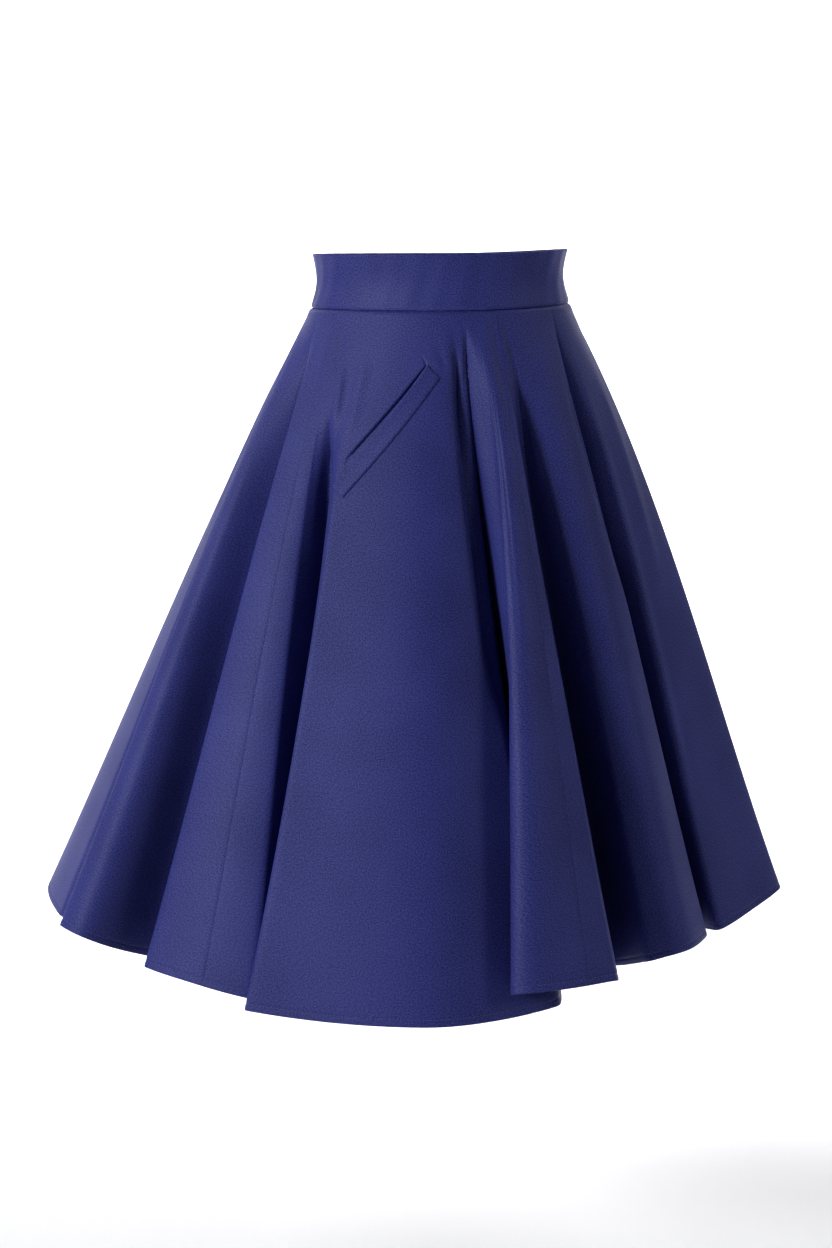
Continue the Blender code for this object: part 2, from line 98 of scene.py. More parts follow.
# What the folds grow from: the hem smoothed over this width and widened, and the waist, where a fold is
# squeezed to a share of its width. The hips push the sides out a little, the right side and the left
ENVELOPE_WIDTH = 0.16
ENVELOPE_OUT = 1.06
WAIST_PINCH = 0.25
WAIST_BLEND = 0.012
FRONT_SHARE = 0.2
SIDE_BULGE = (0.006, 0.012)

# The share over which slopes are measured, points between two corners of a fold, and points round the hem
SMALL_STEP = 0.0004
FOLD_STEPS = 24
FINE = 2048

# Corners of the welt and the bag, as share round the hem and share down: the slit side's upper end, the far
# side's upper and lower end, the slit side's lower end
WELT_CORNERS = ((0.2320, 0.0800), (0.2393, 0.1000), (0.1835, 0.2783), (0.1750, 0.2650))
BAG_CORNERS = ((0.2310, 0.0965), (0.2375, 0.360), (0.1855, 0.420), (0.1818, 0.262))

# Zip tape: its width and wall, its gap behind the cloth, how far behind the gores' middle their turned edges
# reach, where it runs as shares down the band and the gores, its columns and rows there, and how far behind
# its outer face the middle of the coil lies
TAPE_WIDTH = 0.022
TAPE_WALL = 0.0006
TAPE_GAP = 0.0009
TAPE_BEHIND = 0.0016
TAPE_ON_BAND = (0.03, 0.92)
TAPE_ON_GORES = (0.010, 0.21)
TAPE_COLUMNS = 15
TAPE_BAND_ROWS = 24
TAPE_GORE_ROWS = 50
COIL_IN = 0.0011

# How finely the shells are divided: metres and degrees of turn between a gore's columns, its rows, and the
# steps along and across the welt and the bag
CLOTH_STEP = 0.0065
CLOTH_TURN = 8.0
CLOTH_ROWS = 110
WELT_STEPS = (120, 20)
BAG_STEPS = (40, 40)

# Extra rows and columns of points, in metres below the waist seam, above the hem, beside a gore's seams and
# inside the band's two edges, and in degrees inside the band's ends
TOP_ROWS = np.array([0.0004, 0.001, 0.0018, 0.003, 0.0045])
HEM_ROWS = np.array([0.0003, 0.0008, 0.0015, 0.0030, 0.0045, 0.0055, 0.0065, 0.0072, 0.0082, 0.0095])
SEAM_COLUMNS = np.array([0.0004, 0.0009, 0.0016, 0.0026])
BAND_EDGE_ROWS = np.array([0.0002, 0.0006, 0.0012, 0.0020])
BAND_END_COLUMNS = np.array([0.25, 0.6, 1.1])

# How far the cloth dips into a gore's seams and under the waist seam, and how wide both dips are. How much
# it swells below the waist seam, how far below, and how wide
SEAM_DIP = 0.00035
WAIST_DIP = 0.0016
SEAM_SOFT = 0.0016
SWELL = 0.0005
SWELL_BELOW = 0.005
SWELL_WIDTH = 0.003

# The turned hem: its height, its extra thickness, the step above it, how soon its edge thins, the height of
# its stitches, how far and how wide they pull the cloth in, and the pucker along them
HEM_TURN = 0.0070
HEM_THICK = 0.0009
HEM_STEP = 0.0006
HEM_ROUND = 0.0004
HEM_STITCHES = HEM_TURN - 0.0005
HEM_DIP = 0.00035
HEM_DIP_WIDTH = 0.0012
PUCKER = 0.00022
PUCKER_WIDTH = 0.006
PUCKER_PITCH = 0.011

# The waistband: degrees between its columns, its rows, how far its profile is smoothed, its mean radius, how
# far it dips at the waist seam and at its ends, how wide, its rolled top edge, and its two drag waves
BAND_STEP = 0.9
BAND_ROW_COUNT = 34
BAND_SMOOTH = 8
BAND_RADIUS = 0.118
BAND_SEAM_DIP = 0.0007
BAND_END_DIP = 0.0006
BAND_DIP_WIDTH = 0.0012
BAND_ROLL = 0.0012
BAND_DRAG = 0.00028
BAND_RIPPLE = 0.0002

# The welt: its size, its gap over the front, its least thickness and how much it stands up beyond that, the
# roll and the brink of its open edge, each with its width, and how wide its sewn edges are pressed flat
WELT_LENGTH = 0.150
WELT_BREADTH = 0.0185
WELT_GAP = 0.0001
WELT_LEAST = 0.00035
WELT_WALL = 0.0015
WELT_ROLL = 0.0007
WELT_ROLL_WIDTH = 0.005
WELT_BRINK = 0.0006
WELT_BRINK_WIDTH = 0.0005
WELT_PRESSED = 0.0009

# The bag: how far it lies behind the middle of the front's cloth, how much more it sags, and its wall
BAG_BEHIND = 0.0026
BAG_SAG = 0.0015
BAG_WALL = 0.0009

# Soft creases laid on the gores, listed one by one. Each runs straight from its upper end to its lower end,
# as shares round the hem and down the cloth. The height is how far it stands out, and less than nothing
# for a trough. Half of its height is left at half its width from its middle.
CREASE_ROWS = (
    # name, share, down, share, down, height mm, width mm
    ("beside the middle fold, upper", 0.2395, 0.040, 0.2470, 0.160, -1.6, 6),
    ("beside the middle fold, roll", 0.2480, 0.030, 0.2515, 0.130, 1.5, 5),
    ("top of the middle fold", 0.2510, 0.020, 0.2580, 0.240, -8.0, 10),
    ("middle fold's lip", 0.2555, 0.030, 0.2560, 0.640, -11.0, 14),
    ("fold left of the middle, roll", 0.3145, 0.080, 0.3145, 1.250, 1.5, 12),
    ("fold left of the middle, near lip", 0.3075, 0.020, 0.3085, 0.750, -7.0, 20),
    ("fold left of the middle, face", 0.3170, -0.100, 0.3170, 1.250, 4.5, 44),
    ("fold left of the middle, far lip", 0.3400, -0.100, 0.3400, 1.250, -6.0, 50),
    ("lip of the second left fold", 0.4268, 0.040, 0.4268, 0.480, -3.5, 12),
    ("roll of the third left fold", 0.4668, 0.040, 0.4660, 0.900, 2.0, 10),
    ("right front fold's top, roll", 0.1600, 0.060, 0.1560, 0.225, 3.0, 16),
    ("right front fold's top, shade", 0.1480, 0.190, 0.1480, 0.480, -5.0, 18),
    ("above the pocket, outer", 0.1925, 0.055, 0.1810, 0.205, 1.5, 10),
    ("above the pocket, trough", 0.1775, 0.035, 0.1765, 0.190, -0.8, 9),
    ("inside the right front seam", 0.1445, 0.030, 0.1420, 0.190, -1.2, 10),
    ("right front ridge", 0.1370, 0.060, 0.1310, 0.280, 1.6, 10),
    ("under the band, middle", 0.2880, 0.000, 0.2930, 0.090, 0.8, 9),
    ("left front seam, upper", 0.3312, -0.010, 0.3312, 0.150, -1.5, 8),
    ("left front, second", 0.3600, 0.010, 0.3620, 0.160, 1.2, 9),
    ("left side, upper trough", 0.3745, 0.000, 0.3800, 0.150, -1.6, 8),
    ("left side, upper ridge", 0.3840, 0.010, 0.3880, 0.170, 1.1, 8),
    ("right side ridge 1", 0.0455, 0.060, 0.0425, 0.420, 1.4, 12),
    ("right side ridge 2", 0.0310, 0.070, 0.0370, 0.300, 1.2, 10),
    ("right side trough", 0.0372, 0.050, 0.0381, 0.360, -1.4, 8),
    ("left side 1", 0.4497, 0.020, 0.4520, 0.340, -1.6, 12),
    ("left side 2", 0.4833, 0.060, 0.4789, 0.480, 1.4, 14),
    ("left side 3", 0.5226, 0.020, 0.5259, 0.300, -1.5, 11),
    ("left back 1", 0.5800, 0.030, 0.5830, 0.360, 1.4, 12),
    ("left back 2", 0.6173, 0.040, 0.6124, 0.420, -1.6, 12),
    ("left back 3", 0.6683, 0.020, 0.6722, 0.300, 1.4, 10),
    ("left back 4", 0.7124, 0.030, 0.7085, 0.380, -1.5, 12),
    ("zip, left of it", 0.7428, 0.010, 0.7438, 0.330, 1.0, 9),
    ("zip, right of it", 0.7653, 0.010, 0.7643, 0.330, 1.0, 9),
    ("right back 1", 0.7956, 0.030, 0.7985, 0.360, -1.6, 12),
    ("right back 2", 0.8326, 0.030, 0.8287, 0.400, 1.5, 12),
    ("right back 3", 0.8687, 0.020, 0.8717, 0.300, -1.4, 11),
    ("right side 4", 0.9272, 0.030, 0.9243, 0.360, 1.5, 12),
    ("right side 5", 0.9612, 0.020, 0.9641, 0.300, -1.5, 11),
    ("right side 6", 0.9903, 0.050, 0.9874, 0.420, 1.3, 13),
)

# Pocket opening: a slit along the welt's open edge, from its upper end to the tack above its lower end. Its
# depth and width, and the shares of its length where it starts, is fully open, closes and ends
SLIT_END = (0.1825, 0.223)
SLIT_DEPTH = 0.0030
SLIT_WIDTH = 0.0024
SLIT_ENDS = (-0.02, 0.04, 0.93, 1.0)

# The front's columns of points bend to run along the slit. The column that does, the share down where they
# are straight again, how far from the slit they still bend, and the extra columns on both sides of it
SLIT_MIDDLE = (WELT_CORNERS[0][0] + SLIT_END[0]) / 2
SLIT_FADE = 0.45
SLIT_REACH = 0.09
SLIT_COLUMNS = np.array([0.0, 0.3, 0.6, 1.0, 1.5, 2.2, 3.0, 4.0, 5.5]) / 1600.0

# Stitches of the hem, and teeth of the zip: pitch, length, width and height
STITCH_LENGTH = 0.0026
STITCH_PITCH = 0.0034
THREAD = 0.00032
TEETH = {"Pitch": 0.0016, "Length": 0.0011, "Width": 0.0052, "Height": 0.0013}

# Camera: how far it stands in front of the axis, to the side and above the waist, its tilt and lens
CAMERA_AT = (-0.02424, -2.0, 0.04459)
CAMERA_TILT = 0.19532
CAMERA_LENS = 56.281

# Floor: its height, half its width, where it starts, where its back wall stands, the wall's height over the
# floor and the radius of the sweep between them. Light that comes from all round
FLOOR_Z = -1.04
FLOOR_ACROSS = 5.0
FLOOR_START = -3.5
WALL_AT = 3.2
WALL_HEIGHT = 5.0
SWEEP = 1.2
ROOM_LIGHT = 0.02

LAMP_ROWS = (
    # name, place, size, power, what it points at, spread in degrees
    ("key", (-2.7, -2.3, 1.2), 1.0, 118.0, (0.0, 0.0, -0.35), 180.0),
    ("fill", (3.1, -1.65, 1.0), 1.0, 20.0, (0.0, 0.0, -0.35), 180.0),
    ("back wall left", (-2.6, 1.4, 2.2), 2.0, 110.0, (-0.4, 3.2, -0.4), 110.0),
    ("back wall right", (2.6, 1.4, 2.2), 2.0, 110.0, (0.4, 3.2, -0.4), 110.0),
)

# Half of anything that falls off as a bell is left where its exponent is minus this
LOG_OF_2 = 0.693


# The form of the cloth


def smooth_round(values, width):
    """Values round the closed hem with waves shorter than about the width, a share of it, taken out."""
    waves = np.fft.rfftfreq(len(values), 1.0 / len(values))
    kept = np.exp(-2.0 * (math.pi * waves * width) ** 2)
    return np.fft.irfft((np.fft.rfft(values, axis=0).T * kept).T, len(values), axis=0)


def even_spacing(points, count):
    """Points at even spacing along a closed outline, its length, and the old place of each new point."""
    closed = np.vstack([points, points[:1]])
    along = np.concatenate([[0.0], np.cumsum(np.linalg.norm(np.diff(closed, axis=0), axis=1))])
    wanted = np.linspace(0.0, along[-1], count, endpoint=False)
    even = np.stack([np.interp(wanted, along, column) for column in closed.T], axis=1)
    return even, along[-1], np.interp(wanted, along, np.arange(len(closed)))


def across_groove(points, i):
    """The direction from the first wall of a groove to its second one, at its bottom."""
    first = points[i - 1] - points[i]
    second = points[(i + 1) % len(points)] - points[i]
    out = first / np.linalg.norm(first) + second / np.linalg.norm(second)
    return np.array([-out[1], out[0]]) / np.linalg.norm(out)


def curve_through(points, steps):
    """A closed curve through the folds' points, smooth but for a bend at each lip."""
    def mix(first, second, a, b, t):
        return ((b - t) * first + (t - a) * second) / (b - a)

    curve = []
    for i in range(len(points)):
        p = [points[(i + k) % len(points)] for k in (-1, 0, 1, 2)]
        if i % 2 == 0:
            p[0] = p[1] + (p[1] - p[2]) * LIP_BEND + (p[0] - p[1]) * (1.0 - LIP_BEND)
        else:
            p[3] = p[2] + (p[2] - p[1]) * LIP_BEND + (p[3] - p[2]) * (1.0 - LIP_BEND)
        if i % 4 == 0:
            p[3] = p[2] + across_groove(points, i + 1) * GROOVE_ROUND
        if i % 4 == 1:
            p[0] = p[1] - across_groove(points, i) * GROOVE_ROUND
        t = np.concatenate([[0.0], np.cumsum([math.dist(p[k], p[k + 1]) ** 0.5 for k in range(3)])])
        for now in np.linspace(t[1], t[2], steps, endpoint=False):
            legs = [mix(p[k], p[k + 1], t[k], t[k + 1], now) for k in range(3)]
            arcs = [mix(legs[k], legs[k + 1], t[k], t[k + 2], now) for k in range(2)]
            curve.append(mix(arcs[0], arcs[1], t[1], t[2], now))
    return np.array(curve)


def unit(vectors):
    """Vectors at length 1."""
    return vectors / np.linalg.norm(vectors, axis=-1, keepdims=True)


def bell(distance, width):
    """1 at no distance, falling off smoothly over about the width."""
    return np.exp(-(distance / width) ** 2)


def half_bell(distance, width):
    """1 at no distance, and a half at half the width."""
    return np.exp(-LOG_OF_2 * (distance / (width / 2)) ** 2)


def on_waist(bearing):
    """The point of the waist seam's oval at each bearing."""
    angle = np.radians(bearing)
    return np.stack([WAIST_HALF_WIDTH * np.sin(angle), -WAIST_HALF_DEPTH * np.cos(angle)], axis=-1)


def lift(bearing):
    """How much higher the waistband sits on the wearer's left side."""
    return SIDE_LIFT * np.maximum(0.0, np.sin(np.radians(bearing))) ** 2


def held_over(row_of, column, first, span):
    """A column of the fold table, held over a span of each fold from the first place, blended between."""
    values = [row[column] for row in FOLD_ROWS]
    places = [i + first + k for i in range(len(values)) for k in (0.0, span)]
    doubled = [value for value in values for _ in range(2)]
    held = np.interp(row_of, places, doubled, period=len(values))
    return smooth_round(held, 0.004)


def sag(row_of):
    """How much longer the cloth hangs in each groove than on the folds beside it, in mm."""
    heights = [height for row in FOLD_ROWS for height in (0.0, row[9], 0.0)]
    places = [i + k for i in range(len(FOLD_ROWS)) for k in (0.0, 0.25, 0.5)]
    return smooth_round(np.interp(row_of, places, heights, period=len(FOLD_ROWS)), 0.004)


class Skirt:
    """The middle of the gores' cloth, as a function of the share round the hem and the share down."""

    def __init__(self):
        corners = np.array([point for row in FOLD_ROWS for point in row[1:5]]) / 1000.0
        raw = curve_through(corners, FOLD_STEPS)
        outline, around, first_place = even_spacing(raw, FINE)
        self.hem, around, place = even_spacing(smooth_round(outline, LIP_ROLL / around), FINE)
        self.around = around
        row_of = np.interp(place, np.arange(FINE + 1), np.append(first_place, len(raw))) / (4 * FOLD_STEPS)
        self.envelope = smooth_round(self.hem, ENVELOPE_WIDTH / around) * ENVELOPE_OUT
        self.start = held_over(row_of, 7, 0.0, 0.5)
        self.closing = held_over(row_of, 8, 0.0, 0.5)
        self.seams = [self.share_at(row_of, row[2]) for row in SEAM_ROWS]
        self.knots = self.waist_knots(row_of)
        waist = on_waist(self.waist_bearings(np.arange(FINE) / FINE))
        reach = np.linalg.norm(self.hem - waist, axis=1)
        self.length = (held_over(row_of, 6, 0.5, 0.25) + sag(row_of)) / 1000.0
        self.drop = np.sqrt(self.length ** 2 - reach ** 2)

    def share_at(self, row_of, place):
        """The share of the hem's length at a place counted in folds."""
        return np.interp(place, row_of[1:], np.arange(1, FINE) / FINE)

    def waist_knots(self, row_of):
        """Where the seams and the folds lie, as shares of the hem and bearings at the waist."""
        knots = [(share, row[1]) for share, row in zip(self.seams, SEAM_ROWS)]
        for i, row in enumerate(FOLD_ROWS):
            turn_in, bottom, come_out = [self.share_at(row_of, i + k) for k in (0.0, 0.25, 0.5)]
            turns = round(bottom - FRONT_SHARE - row[5] / 360.0)
            middle = row[5] + 360.0 * turns
            for share in (turn_in, bottom, come_out):
                away = (share - bottom + 0.5) % 1.0 - 0.5
                knots.append((bottom + away, middle + away * 360.0 * WAIST_PINCH))
        knots.sort()
        before = [(share - 1.0, bearing - 360.0) for share, bearing in knots]
        after = [(share + 1.0, bearing + 360.0) for share, bearing in knots]
        return np.array(before + knots + after).T

    def waist_bearings(self, share):
        """The waist bearing above each share of the hem."""
        spread = np.linspace(-WAIST_BLEND, WAIST_BLEND, 9)
        return np.mean([np.interp(share + shift, *self.knots) for shift in spread], axis=0)

    def look_up(self, table, share):
        """A table kept round the hem, read at any share."""
        closed = np.concatenate([table, table[:1]])
        place = (share % 1.0) * FINE
        if table.ndim == 1:
            return np.interp(place, np.arange(FINE + 1), closed)
        return np.stack([np.interp(place, np.arange(FINE + 1), c) for c in closed.T], axis=-1)

    def middle(self, share, down):
        """Points of the cloth's middle. Both arguments are arrays of one shape."""
        bearing = self.waist_bearings(share)
        waist = on_waist(bearing)
        envelope = self.look_up(self.envelope, share)
        fold = self.look_up(self.hem, share) - envelope
        start = self.look_up(self.start, share)
        along = np.clip((down - start) / (1.0 - start), 0.0, None)[..., None]
        closing = self.look_up(self.closing, share)[..., None]
        outward = unit(envelope)
        depth = outward * np.sum(fold * outward, axis=-1, keepdims=True)
        grown = depth * along ** DEPTH_GROWTH + (fold - depth) * along ** closing
        flat = waist + (envelope - waist) * down[..., None] + grown
        out = unit(waist)
        right, left = SIDE_BULGE
        # The last factor is 1 a third of the way down, and nothing at the waist and the hem
        at_hips = (6.75 * down * (1.0 - down) ** 2)[..., None]
        flat = flat + out * np.where(out[..., :1] > 0.0, left, right) * out[..., :1] ** 2 * at_hips
        height = WAIST_SEAM_Z + lift(bearing) - self.look_up(self.drop, share) * down
        return np.concatenate([flat, height[..., None]], axis=-1)

    def with_normals(self, share, down):
        """The cloth's middle, its outward normals and its metres per share, at given places."""
        across = self.middle(share + SMALL_STEP, down) - self.middle(share - SMALL_STEP, down)
        upper = self.middle(share, np.maximum(down - SMALL_STEP, 0.0))
        lower = self.middle(share, np.minimum(down + SMALL_STEP, 1.0))
        width = np.linalg.norm(across, axis=-1) / (2 * SMALL_STEP)
        return self.middle(share, down), unit(np.cross(lower - upper, across)), width

    def shares_between(self, first, last, step, turn):
        """Shares along the hem, closer together where the folds turn sharply."""
        fine = np.linspace(first, last, FINE)
        run = np.diff(self.look_up(self.hem, fine), axis=0)
        heading = np.unwrap(np.arctan2(run[:, 1], run[:, 0]))
        bend = np.abs(np.diff(heading, append=heading[-1]))
        cost = np.linalg.norm(run, axis=1) / step + np.degrees(bend) / turn
        total = np.concatenate([[0.0], np.cumsum(cost)])
        return np.interp(np.linspace(0.0, total[-1], math.ceil(total[-1]) + 1), total, fine)


def along_line(share, down, width, row):
    """Of a line laid on the cloth: how far a place is from it sideways in metres, and how far along it."""
    first_share, first_down, last_share, last_down = row
    along = (down - first_down) / (last_down - first_down)
    beside = (share - first_share - (last_share - first_share) * along) * width
    return beside, along


def faded(along):
    """1 along a line, fading to nothing over the first and the last third."""
    return np.interp(along, (0.0, 0.35, 0.65, 1.0), (0.0, 1.0, 1.0, 0.0))


def relief(share, down, width):
    """How far the listed creases move the cloth outwards."""
    moved = np.zeros(share.shape)
    for _, *line, height, across in CREASE_ROWS:
        beside, along = along_line(share, down, width, line)
        shape = 0.5 - 0.5 * np.cos(math.pi * faded(along))
        moved += height / 1000.0 * shape * half_bell(beside, across / 1000.0)
    return moved


# Making meshes


def in_scene(name, data):
    """A new object with the given mesh, lamp or camera, put in the scene."""
    made = bpy.data.objects.new(name, data)
    bpy.context.scene.collection.objects.link(made)
    return made


def shell(name, outer, inner, flat, finishes):
    """A closed shell between two grids, with the cloth's flat pattern in metres as its UV map."""
    rows, columns = outer.shape[:2]
    index = np.arange(rows * columns).reshape(rows, columns)
    a, b, c, d = index[:-1, :-1], index[1:, :-1], index[1:, 1:], index[:-1, 1:]
    front = np.stack([a, b, c, d], axis=-1).reshape(-1, 4)
    back = np.stack([a, d, c, b], axis=-1).reshape(-1, 4) + index.size
    edge = np.concatenate([index[:, 0], index[-1, 1:], index[-2::-1, -1], index[0, -2:0:-1]])
    onward = np.roll(edge, -1)
    rim = np.stack([edge, edge + index.size, onward + index.size, onward], axis=-1)
    faces = np.concatenate([front, back, rim])
    data = bpy.data.meshes.new(name)
    points = np.concatenate([outer.reshape(-1, 3), inner.reshape(-1, 3)])
    data.from_pydata(points.tolist(), [], faces.tolist())
    layer = data.uv_layers.new(name="flat")
    pattern = np.concatenate([flat.reshape(-1, 2)] * 2)
    layer.data.foreach_set("uv", pattern[faces.reshape(-1)].astype(np.float32).reshape(-1))
    slots = np.zeros(len(faces), dtype=np.int32)
    slots[len(front):len(front) + len(back)] = len(finishes) - 1
    for finish in finishes:
        data.materials.append(finish)
    data.polygons.foreach_set("material_index", slots)
    data.shade_smooth()
    data.update()
    return in_scene(name, data)


def flat_pattern(middle):
    """Where each point of a grid lies in the flat piece: across from its middle line, and down."""
    across = np.linalg.norm(np.diff(middle, axis=1), axis=-1)
    across = np.concatenate([np.zeros((len(middle), 1)), np.cumsum(across, axis=1)], axis=1)
    across -= across[:, -1:] / 2
    down = np.linalg.norm(np.diff(middle, axis=0), axis=-1)
    down = np.concatenate([np.zeros((1, middle.shape[1])), np.cumsum(down, axis=0)])
    return np.stack([across, -down], axis=-1)


def cut_of(flat):
    """The width, length and area of the rectangle and the shape that a flat piece is cut to."""
    widths = flat[:, -1, 0] - flat[:, 0, 0]
    lengths = -flat[:, :, 1]
    length = float(lengths[-1].max())
    steps = np.diff(lengths.mean(axis=1))
    area = float(np.sum((widths[1:] + widths[:-1]) / 2 * steps))
    return float(widths.max()), length, area


def bent_to_slit(share, down):
    """The front's columns of points, moved so that one of them runs along the pocket's opening."""
    (upper, top), (lower, bottom) = WELT_CORNERS[0], SLIT_END
    shifts = (0.0, upper - SLIT_MIDDLE, lower - SLIT_MIDDLE, 0.0)
    moved = np.interp(down, (0.0, top, bottom, SLIT_FADE), shifts)
    near = np.clip(1.0 - np.abs(share - SLIT_MIDDLE) / SLIT_REACH, 0.0, 1.0)
    return share + moved * near


def slit_depth(share, down, width):
    """How far the front is sunk along the pocket's opening."""
    beside, along = along_line(share, down, width, (*WELT_CORNERS[0], *SLIT_END))
    inside = np.interp(along, SLIT_ENDS, (0.0, 1.0, 1.0, 0.0))
    return SLIT_DEPTH * inside * half_bell(beside, SLIT_WIDTH)


def gore(skirt, number, cloth, wrong_side):
    """One gore: its fine shell, with seam dips, turned hem, pucker and creases, and its hem's stitch line."""
    first = skirt.seams[number]
    last = (skirt.seams + [skirt.seams[0] + 1.0])[number + 1]
    near = SEAM_COLUMNS / skirt.around
    shares = skirt.shares_between(first, last, CLOTH_STEP, CLOTH_TURN)
    shares = np.concatenate([shares, first + near, last - near])
    if number == 0:
        shares = np.concatenate([shares, SLIT_MIDDLE + SLIT_COLUMNS, SLIT_MIDDLE - SLIT_COLUMNS])
    length = np.mean([row[6] for row in FOLD_ROWS]) / 1000.0
    downs = np.linspace(0.0, 1.0, CLOTH_ROWS)
    downs = np.unique(np.concatenate([downs, TOP_ROWS / length, 1.0 - HEM_ROWS / length]))
    share, down = np.meshgrid(np.unique(shares), downs)
    if number == 0:
        share = bent_to_slit(share, down)
    middle, normal, width = skirt.with_normals(share, down)
    normal[0] = unit(normal[0] * (1.0, 1.0, 0.0))
    below_top = down * length
    above_hem = (1.0 - down) * length
    from_seam = np.minimum(share - first, last - share) * width
    out = relief(share, down, width)
    out -= SEAM_DIP * bell(from_seam, SEAM_SOFT)
    out -= WAIST_DIP * bell(below_top, SEAM_SOFT)
    out += SWELL * bell(below_top - SWELL_BELOW, SWELL_WIDTH)
    # The second wave makes the pucker's pitch uneven
    wave = np.sin(share * width * 2 * math.pi / PUCKER_PITCH + 3.0 * np.sin(share * 61.0))
    out += PUCKER * wave * bell(above_hem - HEM_TURN, PUCKER_WIDTH)
    out -= HEM_DIP * bell(above_hem - HEM_STITCHES, HEM_DIP_WIDTH)
    if number == 0:
        out -= slit_depth(share, down, width)
    middle[:, 0] += unit(middle[:, 1] - middle[:, 0]) * SEAM_GAP / 2
    middle[:, -1] -= unit(middle[:, -1] - middle[:, -2]) * SEAM_GAP / 2
    surface = middle + normal * out[..., None]
    rounding = WALL / 2 * (1.0 - np.exp(-above_hem / HEM_ROUND))
    turned = HEM_THICK * np.interp(above_hem, (0.0, HEM_TURN, HEM_TURN + HEM_STEP), (1.0, 1.0, 0.0))
    outer = surface + normal * rounding[..., None]
    inner = surface - normal * (rounding + turned)[..., None]
    flat = flat_pattern(middle)
    flat[..., 1] = -down * skirt.look_up(skirt.length, share)
    made = shell(GORES[number] + "_cloth", outer, inner, flat, (cloth, wrong_side))
    stitched = np.argmin(np.abs(above_hem[:, 0] - HEM_STITCHES))
    return made, cut_of(flat), outer[stitched], normal[-1]


def patch(skirt, corners, steps):
    """A four-cornered grid on the front gore, its normals, and how far along and across each point is."""
    a, b, c, d = [np.array(corner) for corner in corners]
    grids = np.meshgrid(*[np.linspace(0.0, 1.0, count + 1) for count in steps])
    along, across = [grid[..., None] for grid in grids]
    place = (a * (1 - along) + d * along) * (1 - across) + (b * (1 - along) + c * along) * across
    middle, normal, width = skirt.with_normals(place[..., 0], place[..., 1])
    middle = middle + normal * relief(place[..., 0], place[..., 1], width)[..., None]
    return middle, normal, along[..., 0], across[..., 0]


def welt(skirt, cloth):
    """The pocket's welt: a doubled strip, rolled at its open edge and pressed flat at the sewn ones."""
    middle, normal, along, across = patch(skirt, WELT_CORNERS, WELT_STEPS)
    from_open = across * WELT_BREADTH
    from_sewn = (1.0 - across) * WELT_BREADTH
    from_end = np.minimum(along, 1.0 - along) * WELT_LENGTH
    rise = WELT_WALL + WELT_ROLL * bell(from_open, WELT_ROLL_WIDTH)
    rise -= WELT_WALL * bell(from_sewn, WELT_PRESSED)
    rise -= WELT_WALL * bell(from_end, WELT_PRESSED)
    rise -= WELT_BRINK * bell(from_open, WELT_BRINK_WIDTH)
    inner = middle + normal * (WALL / 2 + WELT_GAP)
    outer = middle + normal * (WALL / 2 + WELT_LEAST + np.clip(rise, 0.0, None))[..., None]
    flat = flat_pattern(middle)
    return shell("pocket_welt_cloth", outer, inner, flat, (cloth, cloth)), cut_of(flat)


def bag(skirt, lining):
    """The pocket bag, hanging behind the front."""
    middle, normal, along, across = patch(skirt, BAG_CORNERS, BAG_STEPS)
    hanging = BAG_SAG * np.sin(math.pi * along) * np.sin(math.pi * across)
    outer = middle - normal * (BAG_BEHIND + hanging)[..., None]
    flat = flat_pattern(middle)
    return shell("pocket_bag_cloth", outer, outer - normal * BAG_WALL, flat, (lining, lining)), cut_of(flat)


def band_grid(bearings, downs):
    """Points of the band's middle, its normals and its directions along, over a grid."""
    bearing, down = np.meshgrid(bearings, downs)
    table = np.array(BAND_ROWS)
    fine = np.linspace(0.0, 1.0, 101)
    smooth = np.interp(fine, table[:, 0], table[:, 1])
    smooth = np.pad(smooth, BAND_SMOOTH, mode="reflect", reflect_type="odd")
    window = 2 * BAND_SMOOTH + 1
    smooth = np.convolve(smooth, np.ones(window) / window, mode="valid")
    scale = np.interp(down, fine, smooth)
    slope = np.interp(down, fine, np.gradient(smooth, fine))
    flat = on_waist(bearing) * scale[..., None]
    height = WAIST_SEAM_Z + lift(bearing) + BAND_HEIGHT * (1.0 - down)
    middle = np.concatenate([flat, height[..., None]], axis=-1)
    angle = np.radians(bearing)
    level = np.zeros(bearing.shape)
    along = np.stack([WAIST_HALF_WIDTH * np.cos(angle), WAIST_HALF_DEPTH * np.sin(angle), level], axis=-1)
    along = unit(along)
    below = np.concatenate([on_waist(bearing) * slope[..., None], (level - BAND_HEIGHT)[..., None]], axis=-1)
    return middle, unit(np.cross(below, along)), along


